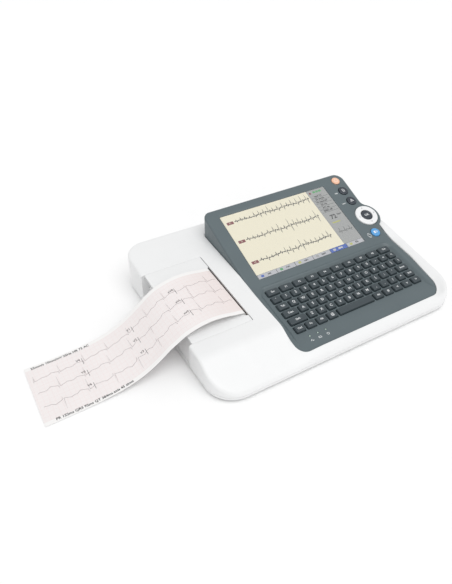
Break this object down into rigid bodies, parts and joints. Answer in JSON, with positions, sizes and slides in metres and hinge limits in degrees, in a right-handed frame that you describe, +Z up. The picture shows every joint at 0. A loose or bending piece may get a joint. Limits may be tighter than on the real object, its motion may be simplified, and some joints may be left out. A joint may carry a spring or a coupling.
{
  "type": "ecg machine",
  "caption": "Desktop ECG machine with a tilted screen, keyboard, rocker disc and a side drawer for paper, with a printed strip hanging out.",
  "frame": {"origin": "centre of the box that holds the whole machine and its printed strip, at the height of the table", "axes": "+X to the user's right, +Y to the back, +Z up"},
  "size_m": [0.461, 0.234, 0.0734],
  "materials": {
    "white_housing": "fine satin moulded texture",
    "grey_housing": "satin painted",
    "screen_lens": "polished",
    "lcd": "lit screen",
    "steel": "brushed",
    "circuit_board": "solder mask",
    "key_silicone": "matt silicone",
    "light_pipe": "clear",
    "white_control": "satin",
    "black_plastic": "satin",
    "orange_button": "translucent, lit",
    "blue_button": "translucent, lit",
    "rubber": "matt",
    "paper": "coated thermal paper with a pale pink grid",
    "cardboard": "plain",
    "brass": "plated",
    "gear_plastic": "acetal",
    "battery_wrap": "shrink wrap",
    "print_head_ceramic": "glazed",
    "power_parts": "lacquered board and parts"
  },
  "bodies": {
    "machine": {"top_shell": "white_housing", "base_shell": "white_housing", "battery_cover": "white_housing", "console_cover": "grey_housing", "rear_panel": "grey_housing", "display_window": "screen_lens", "lcd_panel": "lcd", "lcd_bracket": "steel", "head_bracket": "steel", "head_spring_front": "steel", "head_spring_rear": "steel", "drawer_rail_front": "steel", "drawer_rail_rear": "steel", "usb_socket": "steel", "case_screw_1": "steel", "case_screw_2": "steel", "case_screw_3": "steel", "case_screw_4": "steel", "keyboard_board": "circuit_board", "control_board": "circuit_board", "main_board": "circuit_board", "led_light_pipe": "light_pipe", "speaker": "black_plastic", "mains_inlet": "black_plastic", "patient_socket": "black_plastic", "lan_socket": "black_plastic", "foot_front_left": "rubber", "foot_front_right": "rubber", "foot_rear_left": "rubber", "foot_rear_right": "rubber", "ground_post": "brass", "battery_pack": "battery_wrap", "print_head": "print_head_ceramic", "power_supply": "power_parts"},
    "key_row_1": {"key_row_1": "key_silicone"},
    "key_row_2": {"key_row_2": "key_silicone"},
    "key_row_3": {"key_row_3": "key_silicone"},
    "key_row_4": {"key_row_4": "key_silicone"},
    "key_row_5": {"key_row_5": "key_silicone"},
    "key_row_6_left": {"key_row_6_left": "key_silicone"},
    "key_row_6_right": {"key_row_6_right": "key_silicone"},
    "space_bar": {"space_bar": "key_silicone"},
    "power_button": {"power_button": "orange_button"},
    "function_button_upper": {"function_button_upper": "black_plastic"},
    "function_button_lower": {"function_button_lower": "black_plastic"},
    "print_button": {"print_button": "blue_button"},
    "nav_ok_button": {"nav_ok_button": "black_plastic"},
    "nav_rocker": {"nav_rocker": "black_plastic"},
    "nav_ring": {"nav_ring": "white_control"},
    "drawer": {"paper_drawer": "white_housing", "paper_motor": "steel", "paper_strip": "paper"},
    "roll": {"paper_roll": "paper", "roll_core": "cardboard", "roll_spindle": "black_plastic"},
    "platen": {"platen_roller": "rubber", "platen_shaft": "steel", "platen_gear": "gear_plastic"},
    "pinion": {"motor_gear": "brass"},
    "mains_rocker": {"mains_rocker": "black_plastic"}
  },
  "joints": [
    {"name": "key_row_1_press", "type": "slide", "parent": "machine", "child": "key_row_1", "axis": [0, 0.1772, -0.9842], "range_m": [0, 0.0012], "stiffness_N_per_m": 400},
    {"name": "key_row_2_press", "type": "slide", "parent": "machine", "child": "key_row_2", "axis": [0, 0.1772, -0.9842], "range_m": [0, 0.0012], "stiffness_N_per_m": 400},
    {"name": "key_row_3_press", "type": "slide", "parent": "machine", "child": "key_row_3", "axis": [0, 0.1772, -0.9842], "range_m": [0, 0.0012], "stiffness_N_per_m": 400},
    {"name": "key_row_4_press", "type": "slide", "parent": "machine", "child": "key_row_4", "axis": [0, 0.1772, -0.9842], "range_m": [0, 0.0012], "stiffness_N_per_m": 400},
    {"name": "key_row_5_press", "type": "slide", "parent": "machine", "child": "key_row_5", "axis": [0, 0.1772, -0.9842], "range_m": [0, 0.0012], "stiffness_N_per_m": 400},
    {"name": "key_row_6_left_press", "type": "slide", "parent": "machine", "child": "key_row_6_left", "axis": [0, 0.1772, -0.9842], "range_m": [0, 0.0012], "stiffness_N_per_m": 400},
    {"name": "key_row_6_right_press", "type": "slide", "parent": "machine", "child": "key_row_6_right", "axis": [0, 0.1772, -0.9842], "range_m": [0, 0.0012], "stiffness_N_per_m": 400},
    {"name": "space_bar_press", "type": "slide", "parent": "machine", "child": "space_bar", "axis": [0, 0.1772, -0.9842], "range_m": [0, 0.0012], "stiffness_N_per_m": 300},
    {"name": "power_button_press", "type": "slide", "parent": "machine", "child": "power_button", "axis": [0, 0.3491, -0.9371], "range_m": [0, 0.0008], "stiffness_N_per_m": 500},
    {"name": "function_button_upper_press", "type": "slide", "parent": "machine", "child": "function_button_upper", "axis": [0, 0.3491, -0.9371], "range_m": [0, 0.0008], "stiffness_N_per_m": 500},
    {"name": "function_button_lower_press", "type": "slide", "parent": "machine", "child": "function_button_lower", "axis": [0, 0.3491, -0.9371], "range_m": [0, 0.0008], "stiffness_N_per_m": 500},
    {"name": "print_button_press", "type": "slide", "parent": "machine", "child": "print_button", "axis": [0, 0.3491, -0.9371], "range_m": [0, 0.0008], "stiffness_N_per_m": 500},
    {"name": "nav_ok_button_press", "type": "slide", "parent": "machine", "child": "nav_ok_button", "axis": [0, 0.3491, -0.9371], "range_m": [0, 0.0006], "stiffness_N_per_m": 500},
    {"name": "nav_up_down", "type": "hinge", "parent": "machine", "child": "nav_rocker", "pos_m": [0.2109, 0.02847, 0.04457], "axis": [1, 0, 0], "range_deg": [-3, 3], "stiffness_Nm_per_rad": 0.08},
    {"name": "nav_left_right", "type": "hinge", "parent": "nav_rocker", "child": "nav_ring", "pos_m": [0.2109, 0.02847, 0.04457], "axis": [0, 0.9371, 0.3491], "range_deg": [-3, 3], "stiffness_Nm_per_rad": 0.08},
    {"name": "drawer_slide", "type": "slide", "parent": "machine", "child": "drawer", "axis": [-1, 0, 0], "range_m": [0, 0.105]},
    {"name": "roll_spin", "type": "hinge", "parent": "drawer", "child": "roll", "pos_m": [-0.0515, -0.0055, 0.0196], "axis": [0, 1, 0], "continuous": true},
    {"name": "platen_spin", "type": "hinge", "parent": "drawer", "child": "platen", "pos_m": [-0.0207, -0.0055, 0.0258], "axis": [0, 1, 0], "continuous": true},
    {"name": "motor_spin", "type": "hinge", "parent": "drawer", "child": "pinion", "pos_m": [-0.02947, 0.0436, 0.0156], "axis": [0, 1, 0], "continuous": true},
    {"name": "mains_rocker_tilt", "type": "hinge", "parent": "machine", "child": "mains_rocker", "pos_m": [0.1585, 0.11, 0.022], "axis": [1, 0, 0], "range_deg": [-12, 0]}
  ],
  "couplings": [
    {"joint": "platen_spin", "follows": "roll_spin", "ratio": -2.1667},
    {"joint": "motor_spin", "follows": "roll_spin", "ratio": 3.7143}
  ]
}
